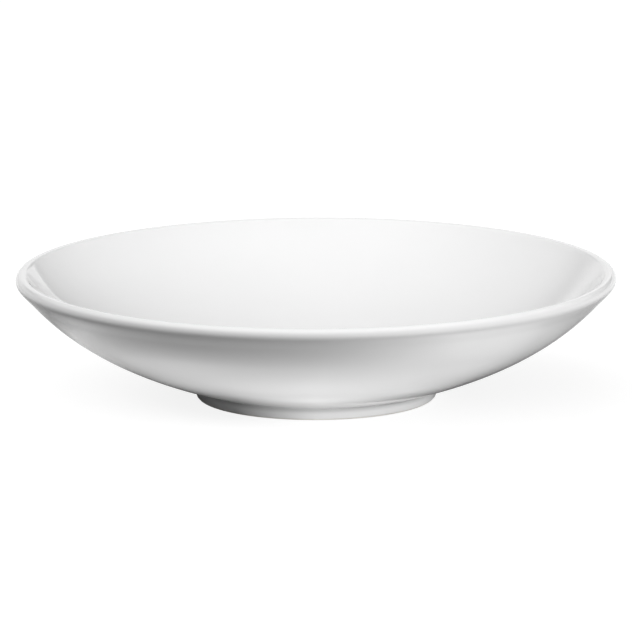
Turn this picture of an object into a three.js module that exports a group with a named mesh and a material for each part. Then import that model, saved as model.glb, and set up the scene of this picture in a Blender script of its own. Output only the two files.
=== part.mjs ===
// Deep plate: a round, coupe-shaped porcelain plate with a rolled lip, standing on a low foot ring.
//
// Units are millimetres and +Z is up. The origin lies on the plate's axis, in the plane it stands on.
// Each piece is an outline turned about the axis. The clay body and its foot ring meet on one cone,
// and the fired glass lies on them as two coats, because the edge that the plate stands on is bare.
// Sizes are those of the finished plate, glaze included. Points are (radius, height).

import * as THREE from "three";

// Overall
const RIM_DIAMETER = 240;
const PLATE_HEIGHT = 50.9;

// Wall: one curve outside, from the foot to the lip, with the wall's thickness inside it
const WALL_AT_FOOT = 4.6;
const WALL_AT_LIP = 4.8;
const WALL_SLOPE_AT_FOOT = 16.4; // degrees above level
const WALL_SLOPE_AT_LIP = 52; // degrees above level
const WALL_PULL_AT_FOOT = 0.325; // how far the curve holds its first slope, in foot-to-lip distances
const WALL_PULL_AT_LIP = 0.36; // how far it holds its last slope, in the same measure

// Lip: a round edge that stands a little proud of the wall outside
const LIP_ROLL = 0.4;
const LIP_ROLL_HEIGHT = 7; // along the wall

// Floor
const FLOOR_THICKNESS = 4.1;
const RECESS_DEPTH = 2.4; // the underside's height over the table, inside the foot ring

// Foot ring
const FOOT_JOINT_DIAMETER = 96.8; // at the crease under the wall
const FOOT_HEIGHT = 4.65; // table to crease
const FOOT_TAPER = 0.5; // each side, outside
const FOOT_WIDTH = 4; // at the table
const FOOT_INNER_TAPER = 0.8;
const BEARING_CHAMFER = 0.8;

// Glaze
const GLAZE_THICKNESS = 0.3;
const GLAZE_SEAT = 0.02; // gap that keeps the glass and the clay apart as solids
const BARE_FLANK = 0.2; // clay wiped clean over the bearing edge's chamfers

// Facets
const TURN_STEPS = 60;
const WALL_STEPS = 7;
const ROLL_STEPS = 3;
const SHOULDER_STEPS = 2;
const CROWN_STEPS = 3;
const WELL_STEPS = 3;

// Finishes
const CLAY = { color: "#efebe2", roughness: 0.85, metalness: 0 };
const GLAZE = { color: "#f7f7f5", roughness: 0.08, metalness: 0 };

const point = (radius, height) => new THREE.Vector2(radius, height);
const heading = (angle) => point(Math.cos(angle), Math.sin(angle));
const steps = (count) => Array.from({ length: count }, (_, i) => (i + 1) / count);

// The way to the left of an outline that runs from one point to the next.
function leftOf(from, to) {
  const along = to.clone().sub(from).normalize();
  return point(-along.y, along.x);
}

// Moves an open outline to its left by a distance, with its corners mitred.
function moveLeft(outline, distance) {
  const last = outline.length - 1;
  return outline.map((corner, i) => {
    const before = leftOf(outline[Math.max(i - 1, 0)], outline[Math.max(i, 1)]);
    const after = leftOf(outline[Math.min(i, last - 1)], outline[Math.min(i + 1, last)]);
    const between = before.clone().add(after).normalize();
    return corner.clone().addScaledVector(between, distance / between.dot(after));
  });
}

// Points of an arc after its start, by angle in radians.
function arc(centre, radius, from, to, count) {
  return steps(count).map((share) =>
    centre.clone().addScaledVector(heading(from + (to - from) * share), radius),
  );
}

// Foot ring's flanks, outside and inside, at a height over the table, and where their glaze ends.
const bareHeight = BEARING_CHAMFER + BARE_FLANK;
const jointRadius = FOOT_JOINT_DIAMETER / 2;
const footOuter = (height) => jointRadius - FOOT_TAPER * (1 - height / FOOT_HEIGHT);
const footInner = (height) =>
  footOuter(0) - FOOT_WIDTH - (FOOT_INNER_TAPER * height) / RECESS_DEPTH;

// Wall curve, from the crease over the foot to the root of the lip.
const lipThickness = WALL_AT_LIP + LIP_ROLL;
const lipRadius = lipThickness / 2;
const lipCentre = point(RIM_DIAMETER / 2 - lipRadius, PLATE_HEIGHT - lipRadius);
const slopeAtFoot = THREE.MathUtils.degToRad(WALL_SLOPE_AT_FOOT);
const slopeAtLip = THREE.MathUtils.degToRad(WALL_SLOPE_AT_LIP);
const outOfLip = slopeAtLip - Math.PI / 2;
const crease = point(jointRadius, FOOT_HEIGHT);
const lipRoot = lipCentre.clone().addScaledVector(heading(outOfLip), lipRadius - LIP_ROLL);
const footToLip = crease.distanceTo(lipRoot);
const wallCurve = new THREE.CubicBezierCurve(
  crease,
  crease.clone().addScaledVector(heading(slopeAtFoot), WALL_PULL_AT_FOOT * footToLip),
  lipRoot.clone().addScaledVector(heading(slopeAtLip), -WALL_PULL_AT_LIP * footToLip),
  lipRoot,
);
const rollStart = 1 - LIP_ROLL_HEIGHT / wallCurve.getLength();

// A point at a share of the wall's length, from 0 at the foot to 1 at the lip, moved out of the curve.
function wallPoint(share, distance) {
  const along = wallCurve.getTangentAt(share);
  return wallCurve.getPointAt(share).addScaledVector(point(along.y, -along.x), distance);
}

function wallOutside(share) {
  return wallPoint(share, LIP_ROLL * THREE.MathUtils.smoothstep(share, rollStart, 1));
}

function wallInside(share) {
  return wallPoint(share, -THREE.MathUtils.lerp(WALL_AT_FOOT, WALL_AT_LIP, share));
}

// Well: the curve that lays the inside of the wall into the flat floor, tangent to both.
const floorHeight = RECESS_DEPTH + FLOOR_THICKNESS;
const wellTop = wallInside(0);
const wellCorner = point(
  wellTop.x - (wellTop.y - floorHeight) / Math.tan(slopeAtFoot),
  floorHeight,
);
const floorEdge = point(wellCorner.x - wellCorner.distanceTo(wellTop), floorHeight);
const wellCurve = new THREE.QuadraticBezierCurve(wellTop, wellCorner, floorEdge);

// The glazed surface, with the clay to the left of both outlines: one runs from the bare edge up the
// outside, over the lip and in to the floor's middle, the other from the underside's middle out and
// down inside the foot.
const upperGlaze = [
  point(footOuter(bareHeight), bareHeight),
  crease,
  ...steps(WALL_STEPS).map((share) => wallOutside(share * rollStart)),
  ...steps(ROLL_STEPS).map((share) => wallOutside(rollStart + (1 - rollStart) * share)),
  ...arc(lipCentre, lipRadius, outOfLip, 0, SHOULDER_STEPS),
  ...arc(lipCentre, lipRadius, 0, Math.PI / 2, CROWN_STEPS),
  ...arc(lipCentre, lipRadius, Math.PI / 2, outOfLip + Math.PI, SHOULDER_STEPS),
  ...steps(WALL_STEPS).map((share) => wallInside(1 - share)),
  ...steps(WELL_STEPS).map((share) => wellCurve.getPoint(share)),
  point(0, floorHeight),
];
const lowerGlaze = [
  point(0, RECESS_DEPTH),
  point(footInner(RECESS_DEPTH), RECESS_DEPTH),
  point(footInner(bareHeight), bareHeight),
];

// The glaze's own back, and the clay under it.
const upperBack = moveLeft(upperGlaze, GLAZE_THICKNESS);
const lowerBack = moveLeft(lowerGlaze, GLAZE_THICKNESS);
const clayDepth = GLAZE_THICKNESS + GLAZE_SEAT;
const upperClay = moveLeft(upperGlaze, clayDepth);
const lowerClay = moveLeft(lowerGlaze, clayDepth);
const [outerBareLine, footSeatOuter, ...upperBody] = upperClay;
const [undersideMiddle, footSeatInner, innerBareLine] = lowerClay;

// The foot's clay flanks at the top of the chamfers: in from the glazed ones, measured level.
const outerClayDepth = clayDepth * Math.hypot(1, FOOT_TAPER / FOOT_HEIGHT);
const innerClayDepth = clayDepth * Math.hypot(1, FOOT_INNER_TAPER / RECESS_DEPTH);
const clayOuter = footOuter(BEARING_CHAMFER) - outerClayDepth;
const clayInner = footInner(BEARING_CHAMFER) + innerClayDepth;

// Turns an outline, clay or glass on its left, about the axis.
function turned(name, outline, finish) {
  const geometry = new THREE.LatheGeometry(outline, TURN_STEPS).rotateX(Math.PI / 2);
  const mesh = new THREE.Mesh(geometry, new THREE.MeshStandardMaterial(finish));
  mesh.name = name;
  return mesh;
}

// Wall, lip and floor in one fired body.
function plateBody() {
  const outline = [undersideMiddle, footSeatInner, footSeatOuter, ...upperBody];
  return turned("plate_body", outline, CLAY);
}

// Ring luted under the body, with a flat, bare bearing edge.
function footRing() {
  const outline = [
    footSeatInner,
    innerBareLine,
    point(clayInner, BEARING_CHAMFER),
    point(clayInner + BEARING_CHAMFER, 0),
    point(clayOuter - BEARING_CHAMFER, 0),
    point(clayOuter, BEARING_CHAMFER),
    outerBareLine,
    footSeatOuter,
    footSeatInner,
  ];
  return turned("foot_ring", outline, CLAY);
}

// Glaze over the inside, the lip, the outside and the foot's outer flank.
function glazeCoat() {
  const outline = [...upperBack.slice().reverse(), ...upperGlaze];
  return turned("glaze_coat", outline, GLAZE);
}

// Glaze of the underside and the foot's inner flank.
function baseGlaze() {
  const outline = [...lowerGlaze, ...lowerBack.slice().reverse()];
  return turned("base_glaze", outline, GLAZE);
}

const deepPlate = new THREE.Group();
deepPlate.name = "deep_plate";
deepPlate.add(plateBody(), footRing(), glazeCoat(), baseGlaze());

export default deepPlate;
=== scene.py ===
import math

import bpy
import numpy as np
from bpy.props import FloatProperty, FloatVectorProperty, PointerProperty
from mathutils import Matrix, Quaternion, Vector


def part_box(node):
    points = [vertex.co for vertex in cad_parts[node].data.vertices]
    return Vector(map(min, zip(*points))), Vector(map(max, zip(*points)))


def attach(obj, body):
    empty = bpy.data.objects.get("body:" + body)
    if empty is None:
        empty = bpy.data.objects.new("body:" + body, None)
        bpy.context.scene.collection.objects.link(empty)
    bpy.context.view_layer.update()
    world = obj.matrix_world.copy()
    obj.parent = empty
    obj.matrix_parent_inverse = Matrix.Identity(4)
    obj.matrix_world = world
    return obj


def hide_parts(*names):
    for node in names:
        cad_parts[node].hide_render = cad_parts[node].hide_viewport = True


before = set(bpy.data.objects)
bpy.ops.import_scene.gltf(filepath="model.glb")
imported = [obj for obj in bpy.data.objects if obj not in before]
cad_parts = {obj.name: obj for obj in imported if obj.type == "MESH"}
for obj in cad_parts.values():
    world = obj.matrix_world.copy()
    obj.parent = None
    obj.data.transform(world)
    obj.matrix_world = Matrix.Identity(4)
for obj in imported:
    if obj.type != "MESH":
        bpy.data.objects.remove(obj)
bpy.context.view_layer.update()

bl_info = {
    "name": "Deep Plate",
    "version": (1, 0, 0),
    "blender": (4, 5, 0),
    "location": "View3D > Sidebar > Deep Plate",
    "description": "Makes a glazed porcelain deep plate on its foot ring, and the studio it stands in",
    "category": "Add Mesh",
}

# Metres throughout. The plate stands on z = 0 and is turned about the Z axis. An outline is an array
# of (radius, height) rows that runs with the clay or the glass on its left.
RIM_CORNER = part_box("glaze_coat")[1]

# Steps in each stretch of an outline.
UNDERSIDE_STEPS = 14
FLANK_STEPS = 5
RING_STEPS = 4
ROUND_STEPS = 10
GLASS_EDGE_STEPS = 8
WALL_STEPS = 48
ROLL_STEPS = 20
LIP_STEPS = 36
WELL_STEPS = 24
FLOOR_STEPS = 10
# Points along the wall's curve, from which its steps are picked.
CURVE_POINTS = 4001
# Steps of the turn about the axis, and the corner past which two faces are shaded apart.
TURNS = 192
SHARP_CORNER = math.radians(35)

# Glaze: the widths of its patches of thicker glass and of gloss, the share by which gloss drifts,
# the ripple's width and depth, and how far the pool and its painted shade reach from the crease.
GLASS_PATCH = 0.035
GLOSS_PATCH = 0.012
GLOSS_DRIFT = 0.25
RIPPLE_WIDTH = 0.009
RIPPLE_DEPTH = 0.000012
POOL_AND_SHADE_REACH = 0.0023
GLASS_IOR = 1.52
# Bare clay: the width of its grain, the spacing of the turned lines, the depth of both, and the
# roughness between the grain's lows and highs.
GRAIN_WIDTH = 0.0005
LINE_SPACING = 0.0004
TOOTH_DEPTH = 0.00003
CLAY_ROUGHNESS = (0.7, 0.9)
CLAY_IOR = 1.5
# Where nearly all values of a noise pattern lie, and how many radians a ring wave runs in one unit.
NOISE_SPAN = (0.3, 0.7)
WAVE_RADIANS = 20
# Sockets of a Mix node for colours, by number, as its other kinds of socket have the same names.
MIX_SHARE, MIX_FIRST, MIX_SECOND, MIX_RESULT = 0, 6, 7, 2

# Studio. Turns and rises are in degrees, and a turn is 0 behind the plate, 90 right of it, 180 at
# the camera and 270 left of it. Edges of the tent and the backdrop are parts of a direction.
# Softboxes: name, turn and rise of the middle, distance, width, height and brightness.
SOFTBOXES = (
    ("right_softbox", 122, 15, 1.6, 1.1, 0.6, 7.3),
    ("front_softbox", 160, 5, 1.6, 0.56, 0.34, 4.4),
)
# Tent: turn and rise of its bright side, and the upward parts where its lower edge starts and ends.
TENT_TURN = 255
TENT_RISE = 60
TENT_EDGE = (0.15, 0.5)
# Backdrop: the upward part where its top starts to fade, those where it has faded on the left and on
# the right, and the sideways parts where left and right begin.
BACKDROP_TOP = 0.15
BACKDROP_ENDS = (0.35, 0.165)
BACKDROP_SIDES = (-0.1, 0.1)
# White panel behind the plate: the direction of its middle, how fast it falls off along each axis,
# its soft edge and its brightness.
PANEL_MIDDLE = (-0.05, 0.9, 0.3)
PANEL_FALL = (4, 1.25, 2)
PANEL_EDGE = (0.8, 1.1)
PANEL_WHITE = 1.15
# Light pad: its rings, the step of its turn, and its brightness, with a row of the table for each
# radius and a column for each turn.
PAD_RINGS = 70
PAD_STEP = 5
PAD_RADII = (0, 0.046, 0.048, 0.052, 0.062, 0.075, 0.092, 0.115, 0.138)
PAD_TURNS = (20, 60, 100, 140, 180, 220, 260, 300, 340)
PAD_GLOW = (
    (0.5, 0.5, 0.5, 0.5, 0.5, 0.5, 0.5, 0.5, 0.5),
    (0.5, 0.5, 0.5, 0.5, 0.5, 0.5, 0.5, 0.5, 0.5),
    (0, 0, 0, 0.1, 0.6, 0, 0, 0, 0),
    (0, 0, 0, 0.2, 0.75, 0, 0, 0, 0),
    (0.4, 0, 0, 0.6, 0.35, 0, 0, 0, 0.4),
    (0.6, 0, 0, 0.2, 1, 0.4, 0, 0, 0.6),
    (0.9, 0, 0, 0.2, 1.45, 1.5, 0.45, 0.15, 0.9),
    (0.9, 0, 0.3, 2.1, 0.25, 0.3, 1, 0.3, 0.9),
    (0, 0, 0, 0, 0, 0, 0, 0, 0),
)
# The floor lies a hair under the plate, with the pad between, so that the bare edge is lit too.
PAD_HEIGHT = -0.00005
FLOOR_HEIGHT = -0.0001
FLOOR_HALF = 6.0
# Distances from the axis between which the floor's white comes up in a reflection; nearer the
# axis a reflection shows a painted shade under the plate.
SHADE_EDGE = (0.03, 0.37)
# Camera: sensor and lens in millimetres, and how far it sees.
SENSOR_WIDTH = 36
LENS_LENGTH = 340.2
SIGHT_END = 50


def linear(hex_colour):
    """sRGB hex to linear light: c / 12.92 up to 0.04045, and ((c + 0.055) / 1.055) ** 2.4 above."""
    shown = np.frombuffer(bytes.fromhex(hex_colour.lstrip("#")), np.uint8) / 255
    bright = ((shown + 0.055) / 1.055) ** 2.4
    return tuple(float(c) for c in np.where(shown <= 0.04045, shown / 12.92, bright))


def length(name, description, metres):
    """A size that a user may change, in metres."""
    return FloatProperty(
        name=name, description=description, default=metres, min=0.0, precision=5, unit="LENGTH"
    )


def angle(name, description, degrees):
    """An angle that a user may change, given in degrees and kept in radians."""
    return FloatProperty(
        name=name, description=description, default=math.radians(degrees), subtype="ANGLE"
    )


def share(name, description, value):
    """A share from 0 to 1 that a user may change."""
    return FloatProperty(
        name=name, description=description, default=value, min=0.0, max=1.0, subtype="FACTOR"
    )


def brightness(name, description, value):
    """A light's brightness that a user may change, where 1 is that of a white card."""
    return FloatProperty(name=name, description=description, default=value, min=0.0)


def colour(name, description, hex_colour):
    """A colour that a user may change, given as sRGB hex and kept linear."""
    return FloatVectorProperty(
        name=name,
        description=description,
        default=linear(hex_colour),
        min=0.0,
        max=1.0,
        subtype="COLOR",
    )


class PlateSizes(bpy.types.PropertyGroup):
    """Sizes of the finished plate, glaze included."""

    rim_diameter: length("Rim Diameter", "Across the outside of the lip", 2 * RIM_CORNER.x)
    plate_height: length("Plate Height", "From the table to the top of the lip", RIM_CORNER.z)
    wall_at_foot: length("Wall at Foot", "Thickness of the wall over the foot ring", 0.0046)
    wall_at_lip: length("Wall at Lip", "Thickness of the wall under the lip", 0.0048)
    slope_at_foot: angle("Slope at Foot", "Rise of the wall where it leaves the foot", 16.4)
    slope_at_lip: angle("Slope at Lip", "Rise of the wall where it meets the lip", 52.0)
    pull_at_foot: share("Pull at Foot", "How far the wall holds its first slope", 0.325)
    pull_at_lip: share("Pull at Lip", "How far the wall holds its last slope", 0.36)
    lip_roll: length("Lip Roll", "How far the lip stands proud of the wall outside", 0.0004)
    lip_roll_height: length("Lip Roll Height", "Run of the wall that swells into the lip", 0.007)
    floor_thickness: length("Floor Thickness", "Clay and glaze at the middle", 0.0041)
    recess_depth: length("Recess Depth", "Height of the underside over the table", 0.0024)
    foot_diameter: length("Foot Diameter", "Across the crease under the wall", 0.0968)
    foot_height: length("Foot Height", "From the table to the crease", 0.00465)
    foot_taper: length("Foot Taper", "How far the outer flank draws in", 0.0005)
    foot_width: length("Foot Width", "Across the ring at the table", 0.004)
    foot_inner_taper: length("Foot Inner Taper", "How far the inner flank draws in", 0.0008)
    bearing_round: length("Bearing Round", "Radius of the bearing edge's corners", 0.0006)
    bare_height: length("Bare Height", "Clay left bare above the table", 0.0008)
    glaze_thickness: length("Glaze Thickness", "Glass over the clay", 0.0003)
    glaze_seat: length("Glaze Seat", "Gap between the glass and the clay", 0.00002)
    glaze_pool: length("Glaze Pool", "Radius of the glass that fills a corner", 0.0009)


class PlateFinish(bpy.types.PropertyGroup):
    """Colours and gloss of the glaze and of the bare clay."""

    glaze_white: colour("Glaze White", "Porcelain seen through thin glaze", "#f5f5f5")
    glaze_deep: colour("Glaze Deep", "Porcelain seen through thicker glaze", "#f2f2f2")
    # Darker grey where the glass pools in the crease, which is also painted shade.
    pooled_glaze_and_crease_shade: colour("Glaze Pooled", "Porcelain under the glaze in the crease", "#d4d4d4")
    gloss: share("Glaze Roughness", "Roughness of the fired glass", 0.06)
    clay_pale: colour("Clay Pale", "Bare fired porcelain", "#eceae5")
    clay_shade: colour("Clay Shade", "Bare porcelain in the pores and grinding lines", "#dbd7cf")


class StudioSettings(bpy.types.PropertyGroup):
    """Camera, floor and light of the studio."""

    camera_rise: angle("Camera Rise", "Height of the view above level", 11.34)
    camera_distance: length("Camera Distance", "From the camera to the plate's axis", 2.4)
    camera_roll: angle("Camera Roll", "Turn of the camera about its own view", -0.195)
    aim_height: length("Aim Height", "Height of the frame's middle over the table", 0.03197)
    aim_right: length("Aim Right", "How far the frame's middle lies right of the axis", 0.00038)
    floor_colour: colour("Floor Colour", "Paint of the studio floor", "#898989")
    floor_bounce: colour("Floor Bounce", "Light that the floor throws back up", "#454545")
    floor_white: share("Floor White", "White that the floor adds for the eye", 0.85)
    tent_light: brightness("Tent Light", "Brightness of the tent's bright side", 2.32)
    pad_light: brightness("Pad Light", "Brightness of the pad, times its table", 1.0)


def heading(angles):
    """Unit vectors (cos, sin) at angles from level."""
    return np.stack([np.cos(angles), np.sin(angles)], axis=-1)


def smooth_step(value):
    """3 s^2 - 2 s^3, with s the value held between 0 and 1."""
    held = np.clip(value, 0, 1)
    return held * held * (3 - 2 * held)


def arc(centre, radius, start, end, count):
    """Points after the start of an arc: centre + radius * heading, at evenly stepped angles."""
    return centre + radius * heading(np.linspace(start, end, count + 1)[1:])


def run(start, end, count):
    """Points after the start of a straight run, evenly stepped."""
    return start + np.subtract(end, start) * np.linspace(0, 1, count + 1)[1:, None]


def fillet(before, corner, after, radius):
    """A corner turned into a round that is tangent to both its sides.

    It leaves each side at radius * tan(half the turn) from the corner. Its points are
    start + radius * (sin t * along + (1 - cos t) * across), with t from 0 to the turn.
    """
    along = (corner - before) / np.linalg.norm(corner - before)
    leave = (after - corner) / np.linalg.norm(after - corner)
    turn = math.acos(float(np.clip(along @ leave, -1, 1)))
    across = leave - (along @ leave) * along
    across = across / np.linalg.norm(across)
    t = np.linspace(0, turn, ROUND_STEPS + 1)[:, None]
    start = corner - along * radius * math.tan(turn / 2)
    return start + radius * (np.sin(t) * along + (1 - np.cos(t)) * across)


def move_left(outline, distance):
    """An open outline moved to its left with mitred corners.

    Each point goes along the mean of its two runs' left normals, by the distance over the cosine
    of half the corner's turn.
    """
    along = np.diff(outline, axis=0)
    along = along / np.linalg.norm(along, axis=1, keepdims=True)
    left = np.stack([-along[:, 1], along[:, 0]], axis=1)
    before = np.concatenate([left[:1], left])
    after = np.concatenate([left, left[-1:]])
    between = before + after
    between = between / np.linalg.norm(between, axis=1, keepdims=True)
    return outline + between * (distance / np.sum(between * after, axis=1, keepdims=True))


def foot_outer(sizes, height):
    """Point of the foot's outer flank: a straight taper from the crease down to the table."""
    inward = sizes.foot_taper * (1 - height / sizes.foot_height)
    return np.array([sizes.foot_diameter / 2 - inward, height])


def foot_inner(sizes, height):
    """Point of the foot's inner flank: a straight taper from the table up to the underside."""
    inward = sizes.foot_width + sizes.foot_inner_taper * height / sizes.recess_depth
    return np.array([foot_outer(sizes, 0)[0] - inward, height])


def lip_circle(sizes):
    """Centre and radius of the lip's round edge, which is as thick as the wall and the lip's roll."""
    radius = (sizes.wall_at_lip + sizes.lip_roll) / 2
    return np.array([sizes.rim_diameter / 2 - radius, sizes.plate_height - radius]), radius


def wall_sides(sizes):
    """The wall's outside, foot to lip, and its inside, lip to foot.

    Both stand off one cubic Bezier, (1-t)^3 a + 3t(1-t)^2 b + 3t^2(1-t) c + t^3 d, stepped by its
    own length. a is the crease and d the lip's root, b lies from a along the foot slope and c from
    d back along the lip slope, by their pulls times the distance from a to d. The outside stands
    off by the lip roll times a smooth step over the roll's height, and the inside by a thickness
    that changes evenly from foot to lip.
    """
    centre, radius = lip_circle(sizes)
    crease = foot_outer(sizes, sizes.foot_height)
    root = centre + (radius - sizes.lip_roll) * heading(sizes.slope_at_lip - math.pi / 2)
    reach = np.linalg.norm(root - crease)
    b = crease + sizes.pull_at_foot * reach * heading(sizes.slope_at_foot)
    c = root - sizes.pull_at_lip * reach * heading(sizes.slope_at_lip)
    t = np.linspace(0, 1, CURVE_POINTS)[:, None]
    curve = (1 - t) ** 3 * crease + 3 * t * (1 - t) ** 2 * b + 3 * t * t * (1 - t) * c + t**3 * root
    gone = np.concatenate([[0], np.cumsum(np.linalg.norm(np.diff(curve, axis=0), axis=1))])
    along = np.gradient(curve, gone, axis=0)
    outward = np.stack([along[:, 1], -along[:, 0]], axis=1)
    proud = sizes.lip_roll * smooth_step(1 - (gone[-1] - gone) / sizes.lip_roll_height)
    thick = sizes.wall_at_foot + (sizes.wall_at_lip - sizes.wall_at_foot) * gone / gone[-1]
    outside = curve + outward * proud[:, None]
    inside = curve - outward * thick[:, None]
    roll_start = gone[-1] - sizes.lip_roll_height
    plain = np.linspace(0, roll_start, WALL_STEPS + 1)
    rolled = np.linspace(roll_start, gone[-1], ROLL_STEPS + 1)[1:]
    steps = np.concatenate([plain, rolled])
    picked = np.searchsorted(gone, steps).clip(0, len(gone) - 1)
    return outside[picked], inside[picked][::-1]


def well_round(sizes, top):
    """The curve that lays the wall's inside into the flat floor, tangent to both.

    A quadratic Bezier, (1-t)^2 top + 2t(1-t) corner + t^2 edge. The corner is where the wall's
    slope meets the floor, and the edge lies as far beyond it as the top does before it.
    """
    floor = sizes.recess_depth + sizes.floor_thickness
    corner = np.array([top[0] - (top[1] - floor) / math.tan(sizes.slope_at_foot), floor])
    edge = corner - np.array([np.linalg.norm(corner - top), 0])
    t = np.linspace(0, 1, WELL_STEPS + 1)[1:, None]
    return (1 - t) ** 2 * top + 2 * t * (1 - t) * corner + t * t * edge


def upper_outline(sizes, pool):
    """Glazed surface from the bare edge up the outside, over the lip and in to the floor's middle.

    Straight flank, crease (a sharp corner, or a round of the pool's radius where the glass pools),
    wall, lip circle, wall, well and flat floor, end to end.
    """
    start = foot_outer(sizes, sizes.bare_height)
    crease = foot_outer(sizes, sizes.foot_height)
    outside, inside = wall_sides(sizes)
    corner = fillet(start, crease, outside[1], pool) if pool else crease[None]
    centre, radius = lip_circle(sizes)
    first = sizes.slope_at_lip - math.pi / 2
    well = well_round(sizes, inside[-1])
    return np.concatenate(
        [
            start[None],
            run(start, corner[0], FLANK_STEPS)[:-1],
            corner,
            outside[1:],
            arc(centre, radius, first, first + math.pi, LIP_STEPS)[:-1],
            inside,
            well,
            run(well[-1], (0, well[-1][1]), FLOOR_STEPS),
        ]
    )


def lower_outline(sizes, pool):
    """Glazed surface from the underside's middle out and down the foot's inner flank.

    Flat underside, corner (sharp, or a round of the pool's radius) and straight flank, end to end.
    """
    middle = np.array([0, sizes.recess_depth])
    corner = foot_inner(sizes, sizes.recess_depth)
    end = foot_inner(sizes, sizes.bare_height)
    turn = fillet(middle, corner, end, pool) if pool else corner[None]
    return np.concatenate(
        [
            middle[None],
            run(middle, turn[0], UNDERSIDE_STEPS)[:-1],
            turn,
            run(turn[-1], end, FLANK_STEPS),
        ]
    )


def clay_outlines(sizes):
    """The clay's surface, below and above: the sharp outlines moved in by the glass and its seat."""
    depth = sizes.glaze_thickness + sizes.glaze_seat
    return move_left(lower_outline(sizes, 0), depth), move_left(upper_outline(sizes, 0), depth)


def glass_edge(start, end):
    """Half circle that closes a coat of glass at the wiped line, bulging to the right of its run."""
    centre, radius = (start + end) / 2, np.linalg.norm(end - start) / 2
    toward = math.atan2(*(start - centre)[::-1])
    return arc(centre, radius, toward, toward + math.pi, GLASS_EDGE_STEPS)[:-1]


def in_scene(name, data):
    """A new object in the scene, at the origin."""
    made = bpy.data.objects.new(name, data)
    bpy.context.scene.collection.objects.link(made)
    return made


def turned(name, outline, closed):
    """A piece made by carrying its outline round the axis.

    (radius, height) at turn a goes to (radius cos a, radius sin a, height). A closed outline joins
    its own start, and an open one starts and ends on the axis, in a fan round one point.
    """
    rows = outline if closed else outline[1:-1]
    turns = np.arange(TURNS) * (2 * math.pi / TURNS)
    level = heading(turns)[None] * rows[:, :1, None]
    rise = np.broadcast_to(rows[:, 1:, None], (len(rows), TURNS, 1))
    points = np.concatenate([level, rise], axis=2).reshape(-1, 3)
    index = np.arange(len(rows) * TURNS).reshape(len(rows), TURNS)
    after = np.roll(index, -1, axis=0)
    if not closed:
        index, after = index[:-1], after[:-1]
    faces = np.stack([index, np.roll(index, -1, 1), np.roll(after, -1, 1), after], axis=-1)
    faces = faces.reshape(-1, 4).tolist()
    if not closed:
        first, last = index[0], after[-1]
        poles = np.array([[0, 0, outline[0, 1]], [0, 0, outline[-1, 1]]])
        points = np.concatenate([points, poles])
        under = np.full(TURNS, len(points) - 2)
        over = np.full(TURNS, len(points) - 1)
        faces += np.stack([under, np.roll(first, -1), first], axis=-1).tolist()
        faces += np.stack([over, last, np.roll(last, -1)], axis=-1).tolist()
    mesh = bpy.data.meshes.new(name)
    mesh.from_pydata(points.tolist(), [], faces)
    mesh.shade_smooth()
    mesh.set_sharp_from_angle(angle=SHARP_CORNER)
    return in_scene(name, mesh)


def fit(piece, node_name, material):
    """Puts a finished piece in the frame in place of its CAD node."""
    piece.data.materials.append(material)
    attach(piece, "root")
    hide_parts(node_name)


def add(tree, kind, sockets=None, **settings):
    """Adds a node with its settings; a socket takes a value, or a link from another node's output."""
    made = tree.nodes.new(kind)
    for key, value in settings.items():
        setattr(made, key, value)
    for key, value in (sockets or {}).items():
        if isinstance(value, bpy.types.NodeSocket):
            tree.links.new(value, made.inputs[key])
        else:
            made.inputs[key].default_value = value
    return made


def new_tree(name):
    """A node material and its tree, emptied if the material is already there."""
    made = bpy.data.materials.get(name) or bpy.data.materials.new(name)
    made.use_nodes = True
    made.node_tree.nodes.clear()
    return made, made.node_tree


def pool_and_shade_mask(tree, place, crease):
    """Mask of the pooled glass and its painted crease shade: 1 on the crease, a circle of its own
    radius and height, fading to 0 at the reach.

    The fade is a smooth step of the distance between (radius, height) here and at the crease.
    """
    height = add(tree, "ShaderNodeSeparateXYZ", {"Vector": place}).outputs["Z"]
    level = add(
        tree, "ShaderNodeVectorMath", {0: place, 1: (1, 1, 0)}, operation="MULTIPLY"
    ).outputs["Vector"]
    radius = add(tree, "ShaderNodeVectorMath", {0: level}, operation="LENGTH").outputs["Value"]
    outline_place = add(
        tree, "ShaderNodeCombineXYZ", {"X": radius, "Y": height}
    ).outputs["Vector"]
    away = add(
        tree, "ShaderNodeVectorMath", {0: outline_place, 1: (*crease, 0)}, operation="DISTANCE"
    ).outputs["Value"]
    return add(
        tree,
        "ShaderNodeMapRange",
        {"Value": away, "From Max": POOL_AND_SHADE_REACH, "To Min": 1.0, "To Max": 0.0},
        interpolation_type="SMOOTHSTEP",
    ).outputs["Result"]


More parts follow.
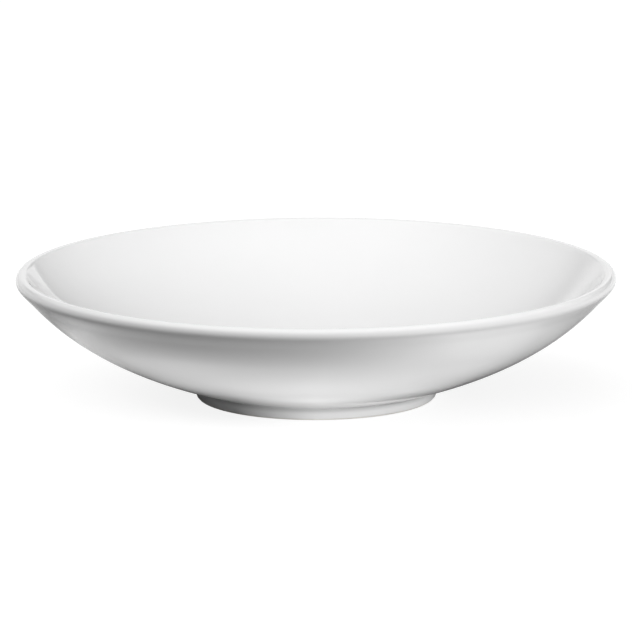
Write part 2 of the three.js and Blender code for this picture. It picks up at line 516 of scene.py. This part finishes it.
def glazed_porcelain(finish, sizes):
    """Clear glaze fired over white porcelain: even white under a glossy skin of glass.

    The glass melts level, so reflections are sharp, but it keeps a slow ripple where it ran, a few
    millimetres from crest to crest, and is hair-thin or thicker in broad patches, which shifts the
    white a little. In the crease over the foot it pools, and its colour is painted darker grey there as
    painted shade.
    """
    made, tree = new_tree("glazed_porcelain")
    place = add(tree, "ShaderNodeTexCoord").outputs["Object"]
    # Patches of thicker glass, about 35 mm across.
    patches = add(
        tree, "ShaderNodeTexNoise", {"Vector": place, "Scale": 1 / GLASS_PATCH, "Detail": 2.0}
    ).outputs["Fac"]
    tone = add(
        tree,
        "ShaderNodeMix",
        {
            MIX_SHARE: patches,
            MIX_FIRST: (*finish.glaze_white, 1),
            MIX_SECOND: (*finish.glaze_deep, 1),
        },
        data_type="RGBA",
    ).outputs[MIX_RESULT]
    # The pool and its painted crease shade fade out within 2.3 mm of the crease.
    pool_and_shade = pool_and_shade_mask(tree, place, foot_outer(sizes, sizes.foot_height))
    tone = add(
        tree,
        "ShaderNodeMix",
        {MIX_SHARE: pool_and_shade, MIX_FIRST: tone, MIX_SECOND: (*finish.pooled_glaze_and_crease_shade, 1)},
        data_type="RGBA",
    ).outputs[MIX_RESULT]
    # Gloss drifts by a quarter over patches of about 12 mm.
    drift = add(
        tree, "ShaderNodeTexNoise", {"Vector": place, "Scale": 1 / GLOSS_PATCH, "Detail": 3.0}
    ).outputs["Fac"]
    rough = add(
        tree,
        "ShaderNodeMapRange",
        {
            "Value": drift,
            "From Min": NOISE_SPAN[0],
            "From Max": NOISE_SPAN[1],
            "To Min": finish.gloss * (1 - GLOSS_DRIFT),
            "To Max": finish.gloss * (1 + GLOSS_DRIFT),
        },
    ).outputs["Result"]
    # Ripple of the melt: 9 mm from crest to crest and 12 micrometres deep.
    ripple = add(
        tree, "ShaderNodeTexNoise", {"Vector": place, "Scale": 1 / RIPPLE_WIDTH, "Detail": 1.0}
    ).outputs["Fac"]
    skin = add(
        tree, "ShaderNodeBump", {"Height": ripple, "Strength": 1.0, "Distance": RIPPLE_DEPTH}
    ).outputs["Normal"]
    shader = add(
        tree,
        "ShaderNodeBsdfPrincipled",
        {"Base Color": tone, "Roughness": rough, "IOR": GLASS_IOR, "Normal": skin},
    )
    add(tree, "ShaderNodeOutputMaterial", {"Surface": shader.outputs["BSDF"]})
    return made


def bare_porcelain(finish):
    """Fired porcelain without glaze: matt, warm white, with a fine grain and turned grinding lines."""
    made, tree = new_tree("bare_porcelain")
    place = add(tree, "ShaderNodeTexCoord").outputs["Object"]
    # Grain of about 0.1 mm, drawn at 0.5 mm so that it shows.
    grain = add(
        tree, "ShaderNodeTexNoise", {"Vector": place, "Scale": 1 / GRAIN_WIDTH, "Detail": 3.0}
    ).outputs["Fac"]
    # Lines left by turning the foot on the wheel, 0.4 mm apart.
    lines = add(
        tree,
        "ShaderNodeTexWave",
        {
            "Vector": place,
            "Scale": 2 * math.pi / WAVE_RADIANS / LINE_SPACING,
            "Distortion": 1.5,
            "Detail": 2.0,
        },
        wave_type="RINGS",
        rings_direction="Z",
    ).outputs["Fac"]
    worn = add(
        tree, "ShaderNodeMath", {0: grain, 1: lines}, operation="MULTIPLY"
    ).outputs["Value"]
    tone = add(
        tree,
        "ShaderNodeMix",
        {MIX_SHARE: worn, MIX_FIRST: (*finish.clay_pale, 1), MIX_SECOND: (*finish.clay_shade, 1)},
        data_type="RGBA",
    ).outputs[MIX_RESULT]
    rough = add(
        tree,
        "ShaderNodeMapRange",
        {"Value": grain, "To Min": CLAY_ROUGHNESS[0], "To Max": CLAY_ROUGHNESS[1]},
    ).outputs["Result"]
    tooth = add(
        tree, "ShaderNodeBump", {"Height": worn, "Strength": 1.0, "Distance": TOOTH_DEPTH}
    ).outputs["Normal"]
    shader = add(
        tree,
        "ShaderNodeBsdfPrincipled",
        {"Base Color": tone, "Roughness": rough, "IOR": CLAY_IOR, "Normal": tooth},
    )
    add(tree, "ShaderNodeOutputMaterial", {"Surface": shader.outputs["BSDF"]})
    return made


class MakeClayBody(bpy.types.Operator):
    """Makes the porcelain body under the glaze: floor, wall and lip in one"""

    bl_idname = "deep_plate.clay_body"
    bl_label = "Clay Body"

    def execute(self, context):
        sizes, finish = context.scene.plate_sizes, context.scene.plate_finish
        under, over = clay_outlines(sizes)
        # The body ends at the seat of the foot ring, a cone from one corner to the other.
        under = under[: UNDERSIDE_STEPS + 1]
        over = over[FLANK_STEPS:]
        under[0, 0] = over[-1, 0] = 0
        outline = np.concatenate([under, run(under[-1], over[0], RING_STEPS)[:-1], over])
        piece = turned("clay_body", outline, closed=False)
        fit(piece, "plate_body", bare_porcelain(finish))
        return {"FINISHED"}


class MakeFootRing(bpy.types.Operator):
    """Makes the clay ring under the plate, with its rounded, bare bearing edge"""

    bl_idname = "deep_plate.foot_ring"
    bl_label = "Foot Ring"

    def execute(self, context):
        sizes, finish = context.scene.plate_sizes, context.scene.plate_finish
        under, over = clay_outlines(sizes)
        seat_in, seat_out = under[UNDERSIDE_STEPS], over[FLANK_STEPS]
        bare_in, bare_out = under[-1], over[0]
        # The flanks run on down to the table, where each turns into the flat edge.
        corner_in = bare_in + (bare_in - seat_in) * bare_in[1] / (seat_in[1] - bare_in[1])
        corner_out = bare_out + (bare_out - seat_out) * bare_out[1] / (seat_out[1] - bare_out[1])
        round_in = fillet(bare_in, corner_in, corner_out, sizes.bearing_round)
        round_out = fillet(corner_in, corner_out, bare_out, sizes.bearing_round)
        outline = np.concatenate(
            [
                seat_in[None],
                run(seat_in, bare_in, RING_STEPS),
                round_in,
                run(round_in[-1], round_out[0], RING_STEPS)[:-1],
                round_out,
                bare_out[None],
                run(bare_out, seat_out, RING_STEPS),
                run(seat_out, seat_in, RING_STEPS)[:-1],
            ]
        )
        piece = turned("foot_ring_clay", outline, closed=True)
        fit(piece, "foot_ring", bare_porcelain(finish))
        return {"FINISHED"}


class MakeGlazeCoat(bpy.types.Operator):
    """Makes the glass over the inside, the lip, the outside and the foot's outer flank"""

    bl_idname = "deep_plate.glaze_coat"
    bl_label = "Glaze Coat"

    def execute(self, context):
        sizes, finish = context.scene.plate_sizes, context.scene.plate_finish
        front = upper_outline(sizes, sizes.glaze_pool)
        back = move_left(upper_outline(sizes, 0), sizes.glaze_thickness)[::-1]
        back[0, 0] = 0
        outline = np.concatenate([back, glass_edge(back[-1], front[0]), front])
        piece = turned("glaze_skin", outline, closed=False)
        fit(piece, "glaze_coat", glazed_porcelain(finish, sizes))
        return {"FINISHED"}


class MakeBaseGlaze(bpy.types.Operator):
    """Makes the glass of the underside and of the foot's inner flank"""

    bl_idname = "deep_plate.base_glaze"
    bl_label = "Base Glaze"

    def execute(self, context):
        sizes, finish = context.scene.plate_sizes, context.scene.plate_finish
        front = lower_outline(sizes, sizes.glaze_pool / 2)
        back = move_left(lower_outline(sizes, 0), sizes.glaze_thickness)[::-1]
        back[-1, 0] = 0
        outline = np.concatenate([front, glass_edge(front[-1], back[0]), back])
        piece = turned("base_skin", outline, closed=False)
        fit(piece, "base_glaze", glazed_porcelain(finish, sizes))
        return {"FINISHED"}


def studio_direction(turn, rise):
    """Unit vector (cos rise sin turn, cos rise cos turn, sin rise), from degrees."""
    turn, rise = math.radians(turn), math.radians(rise)
    return Vector(
        (math.cos(rise) * math.sin(turn), math.cos(rise) * math.cos(turn), math.sin(rise))
    )


def softbox(name, turn, rise, distance, width, height, glow):
    """A flat lamp that faces the plate, kept out of the picture and out of the glaze's reflections.

    It stands in its direction at its distance, and its power is pi times its area times its
    brightness, where a brightness of 1 is that of a white card.
    """
    light = bpy.data.lights.new(name, "AREA")
    light.shape = "RECTANGLE"
    light.size, light.size_y = width, height
    light.energy = math.pi * width * height * glow
    lamp = in_scene(name, light)
    away = studio_direction(turn, rise)
    lamp.location = away * distance
    lamp.rotation_euler = away.to_track_quat("Z", "Y").to_euler()
    lamp.visible_camera = False
    lamp.visible_glossy = False


def upper_side(tree, shader):
    """Ends a flat sheet's tree: the shader shows from above, and from below the sheet is clear."""
    below = add(tree, "ShaderNodeNewGeometry").outputs["Backfacing"]
    clear = add(tree, "ShaderNodeBsdfTransparent").outputs["BSDF"]
    side = add(tree, "ShaderNodeMixShader", {0: below, 1: shader, 2: clear})
    add(tree, "ShaderNodeOutputMaterial", {"Surface": side.outputs["Shader"]})


def light_pad(settings):
    """Soft light let into the table under and round the plate, unseen by the camera.

    A flat disc, radius r and turn a going to (r sin a, r cos a). Its brightness is read off a table
    by radius and turn, evenly between the table's values.
    """
    radii = np.linspace(PAD_RADII[0], PAD_RADII[-1], PAD_RINGS)
    turns = np.arange(0, 360, PAD_STEP)
    across, around = np.meshgrid(radii, np.radians(turns))
    level = heading(math.pi / 2 - around) * across[..., None]
    points = np.concatenate([level, np.full_like(level[..., :1], PAD_HEIGHT)], axis=-1)
    index = np.arange(across.size).reshape(across.shape)
    after = np.roll(index, -1, axis=0)
    faces = np.stack([index[:, :-1], after[:, :-1], after[:, 1:], index[:, 1:]], axis=-1)
    by_radius = np.stack([np.interp(radii, PAD_RADII, knot) for knot in np.eye(len(PAD_RADII))])
    by_turn = np.stack([np.interp(turns, PAD_TURNS, knot) for knot in np.eye(len(PAD_TURNS))])
    glow = settings.pad_light * by_turn.T @ np.transpose(PAD_GLOW) @ by_radius
    mesh = bpy.data.meshes.new("light_pad")
    mesh.from_pydata(points.reshape(-1, 3).tolist(), [], faces.reshape(-1, 4).tolist())
    mesh.attributes.new("glow", "FLOAT", "POINT").data.foreach_set("value", glow.ravel())
    pad = in_scene("light_pad", mesh)
    pad.visible_camera = False
    made, tree = new_tree("light_pad_glow")
    strength = add(tree, "ShaderNodeAttribute", attribute_name="glow").outputs["Fac"]
    light = add(tree, "ShaderNodeEmission", {"Strength": strength}).outputs["Emission"]
    clear = add(tree, "ShaderNodeBsdfTransparent").outputs["BSDF"]
    upper_side(tree, add(tree, "ShaderNodeAddShader", {0: light, 1: clear}).outputs["Shader"])
    mesh.materials.append(made)


def seen_rays(tree, path, mirrored):
    """1 for rays from the camera and through glass, and the mirrored share for those off a gloss."""
    direct = add(
        tree,
        "ShaderNodeMath",
        {0: path["Is Camera Ray"], 1: path["Is Transmission Ray"]},
        operation="MAXIMUM",
    ).outputs["Value"]
    return add(
        tree, "ShaderNodeMath", {0: mirrored, 1: direct}, operation="MAXIMUM"
    ).outputs["Value"]


def floor_glow(tree, white):
    """White that the floor adds for rays from the camera, from a reflection and through glass.

    In a reflection it fades under the plate, with the smooth step of the distance from the axis, a
    painted shade that the glaze mirrors as the plate's own shade.
    """
    path = add(tree, "ShaderNodeLightPath").outputs
    place = add(tree, "ShaderNodeTexCoord").outputs["Object"]
    away = add(tree, "ShaderNodeVectorMath", {0: place}, operation="LENGTH").outputs["Value"]
    # Painted shade: under the plate the floor's white is dimmed in reflections.
    out_of_painted_shade = add(
        tree,
        "ShaderNodeMapRange",
        {"Value": away, "From Min": SHADE_EDGE[0], "From Max": SHADE_EDGE[1]},
        interpolation_type="SMOOTHSTEP",
    ).outputs["Result"]
    mirrored = add(
        tree, "ShaderNodeMath", {0: path["Is Glossy Ray"], 1: out_of_painted_shade}, operation="MULTIPLY"
    ).outputs["Value"]
    seen = seen_rays(tree, path, mirrored)
    return add(
        tree, "ShaderNodeMath", {0: seen, 1: white}, operation="MULTIPLY"
    ).outputs["Value"]


def studio_floor(settings):
    """A wide flat floor that is white to the eye, keeps the plate's shadow and is clear from below.

    To light that has bounced off the plate it is darker than its paint, so that most of the light
    from below is the pad's.
    """
    mesh = bpy.data.meshes.new("studio_floor")
    corners = [
        (FLOOR_HALF * right, FLOOR_HALF * back, FLOOR_HEIGHT)
        for right, back in ((-1, -1), (1, -1), (1, 1), (-1, 1))
    ]
    mesh.from_pydata(corners, [], [(0, 1, 2, 3)])
    floor = in_scene("studio_floor", mesh)
    made, tree = new_tree("floor_paint")
    bounced = add(tree, "ShaderNodeLightPath").outputs["Is Diffuse Ray"]
    tint = add(
        tree,
        "ShaderNodeMix",
        {
            MIX_SHARE: bounced,
            MIX_FIRST: (*settings.floor_colour, 1),
            MIX_SECOND: (*settings.floor_bounce, 1),
        },
        data_type="RGBA",
    ).outputs[MIX_RESULT]
    paint = add(tree, "ShaderNodeBsdfDiffuse", {"Color": tint}).outputs["BSDF"]
    glow = floor_glow(tree, settings.floor_white)
    white = add(tree, "ShaderNodeEmission", {"Strength": glow}).outputs["Emission"]
    upper_side(tree, add(tree, "ShaderNodeAddShader", {0: paint, 1: white}).outputs["Shader"])
    mesh.materials.append(made)


def tent_glow(tree, direction, upward, bright):
    """Light of the tent in a direction: most up on the left, dimming to none on the other side.

    It is the tent's brightness times the square of the cosine of the angle to its bright side, 0
    beyond a right angle, times a smooth step up from its lower edge.
    """
    bright_side = studio_direction(TENT_TURN, TENT_RISE)
    toward = add(
        tree, "ShaderNodeVectorMath", {0: direction, 1: bright_side}, operation="DOT_PRODUCT"
    ).outputs["Value"]
    facing = add(
        tree, "ShaderNodeMath", {0: toward, 1: 0.0}, operation="MAXIMUM"
    ).outputs["Value"]
    squared = add(
        tree, "ShaderNodeMath", {0: facing, 1: facing}, operation="MULTIPLY"
    ).outputs["Value"]
    hung = add(
        tree,
        "ShaderNodeMapRange",
        {
            "Value": upward,
            "From Min": TENT_EDGE[0],
            "From Max": TENT_EDGE[1],
            "To Min": 0.0,
            "To Max": bright,
        },
        interpolation_type="SMOOTHSTEP",
    ).outputs["Result"]
    return add(
        tree, "ShaderNodeMath", {0: squared, 1: hung}, operation="MULTIPLY"
    ).outputs["Value"]


def backdrop_white(tree, sideways, upward):
    """White of the low backdrop: a smooth step down from its top, over an edge that is wider left.

    The edge's end goes evenly from its left value to its right one with the sideways part.
    """
    edge_end = add(
        tree,
        "ShaderNodeMapRange",
        {
            "Value": sideways,
            "From Min": BACKDROP_SIDES[0],
            "From Max": BACKDROP_SIDES[1],
            "To Min": BACKDROP_ENDS[0],
            "To Max": BACKDROP_ENDS[1],
        },
    ).outputs["Result"]
    return add(
        tree,
        "ShaderNodeMapRange",
        {
            "Value": upward,
            "From Min": BACKDROP_TOP,
            "From Max": edge_end,
            "To Min": 1.0,
            "To Max": 0.0,
        },
        interpolation_type="SMOOTHSTEP",
    ).outputs["Result"]


def panel_white(tree, direction):
    """White of the panel behind the plate.

    It falls by a smooth step of the length of (direction - middle), with each axis times its fall.
    """
    aside = add(
        tree, "ShaderNodeVectorMath", {0: direction, 1: PANEL_MIDDLE}, operation="SUBTRACT"
    ).outputs["Vector"]
    fallen = add(
        tree, "ShaderNodeVectorMath", {0: aside, 1: PANEL_FALL}, operation="MULTIPLY"
    ).outputs["Vector"]
    away = add(tree, "ShaderNodeVectorMath", {0: fallen}, operation="LENGTH").outputs["Value"]
    return add(
        tree,
        "ShaderNodeMapRange",
        {
            "Value": away,
            "From Min": PANEL_EDGE[0],
            "From Max": PANEL_EDGE[1],
            "To Min": PANEL_WHITE,
            "To Max": 0.0,
        },
        interpolation_type="SMOOTHSTEP",
    ).outputs["Result"]


def studio_air(settings):
    """The tent's light, and a white backdrop and panel that are seen and mirrored but light nothing."""
    world = bpy.data.worlds.new("studio_air")
    world.use_nodes = True
    tree = world.node_tree
    tree.nodes.clear()
    direction = add(tree, "ShaderNodeTexCoord").outputs["Generated"]
    parts = add(tree, "ShaderNodeSeparateXYZ", {"Vector": direction}).outputs
    glow = tent_glow(tree, direction, parts["Z"], settings.tent_light)
    backdrop = backdrop_white(tree, parts["X"], parts["Z"])
    panel = panel_white(tree, direction)
    cards = add(
        tree, "ShaderNodeMath", {0: backdrop, 1: panel}, operation="MAXIMUM"
    ).outputs["Value"]
    path = add(tree, "ShaderNodeLightPath").outputs
    seen = seen_rays(tree, path, path["Is Glossy Ray"])
    shown = add(
        tree, "ShaderNodeMath", {0: seen, 1: cards}, operation="MULTIPLY"
    ).outputs["Value"]
    lit = add(
        tree, "ShaderNodeMath", {0: glow, 1: shown}, operation="MAXIMUM"
    ).outputs["Value"]
    air = add(tree, "ShaderNodeBackground", {"Strength": lit})
    add(tree, "ShaderNodeOutputWorld", {"Surface": air.outputs["Background"]})
    bpy.context.scene.world = world


def studio_camera(settings):
    """A long lens that looks a little down on the plate from in front."""
    camera = bpy.data.cameras.new("studio_camera")
    camera.sensor_width = SENSOR_WIDTH
    camera.lens = LENS_LENGTH
    camera.clip_end = SIGHT_END
    viewer = in_scene("studio_camera", camera)
    rise = settings.camera_rise
    back = Vector((0, -math.cos(rise), math.sin(rise)))
    aim = Vector((settings.aim_right, 0, settings.aim_height))
    viewer.location = aim + back * settings.camera_distance
    facing = (-back).to_track_quat("-Z", "Y")
    rolled = Quaternion((0, 0, 1), settings.camera_roll)
    viewer.rotation_euler = (facing @ rolled).to_euler()
    bpy.context.scene.camera = viewer


class MakeStudio(bpy.types.Operator):
    """Makes the floor, the tent and its white cards, the softboxes, the light pad and the camera"""

    bl_idname = "deep_plate.studio"
    bl_label = "Studio"

    def execute(self, context):
        settings = context.scene.studio_settings
        studio_floor(settings)
        studio_air(settings)
        for row in SOFTBOXES:
            softbox(*row)
        light_pad(settings)
        studio_camera(settings)
        context.scene.view_settings.view_transform = "Standard"
        return {"FINISHED"}


OPERATORS = (MakeClayBody, MakeFootRing, MakeGlazeCoat, MakeBaseGlaze, MakeStudio)


class DeepPlatePanel(bpy.types.Panel):
    """Lists the plate's sizes and finish, the studio's settings, and what makes each piece"""

    bl_idname = "VIEW3D_PT_deep_plate"
    bl_label = "Deep Plate"
    bl_space_type = "VIEW_3D"
    bl_region_type = "UI"
    bl_category = "Deep Plate"

    def draw(self, context):
        for settings in (
            context.scene.plate_sizes,
            context.scene.plate_finish,
            context.scene.studio_settings,
        ):
            box = self.layout.box()
            for name in settings.__annotations__:
                box.prop(settings, name)
        for operator in OPERATORS:
            self.layout.operator(operator.bl_idname)


GROUPS = {
    "plate_sizes": PlateSizes,
    "plate_finish": PlateFinish,
    "studio_settings": StudioSettings,
}


def register():
    for name, group in GROUPS.items():
        bpy.utils.register_class(group)
        setattr(bpy.types.Scene, name, PointerProperty(type=group))
    for made in (*OPERATORS, DeepPlatePanel):
        bpy.utils.register_class(made)


def unregister():
    for made in (DeepPlatePanel, *reversed(OPERATORS)):
        bpy.utils.unregister_class(made)
    for name, group in reversed(GROUPS.items()):
        delattr(bpy.types.Scene, name)
        bpy.utils.unregister_class(group)


def main():
    register()
    bpy.ops.deep_plate.clay_body()
    bpy.ops.deep_plate.foot_ring()
    bpy.ops.deep_plate.glaze_coat()
    bpy.ops.deep_plate.base_glaze()
    bpy.ops.deep_plate.studio()


if __name__ == "__main__":
    main()
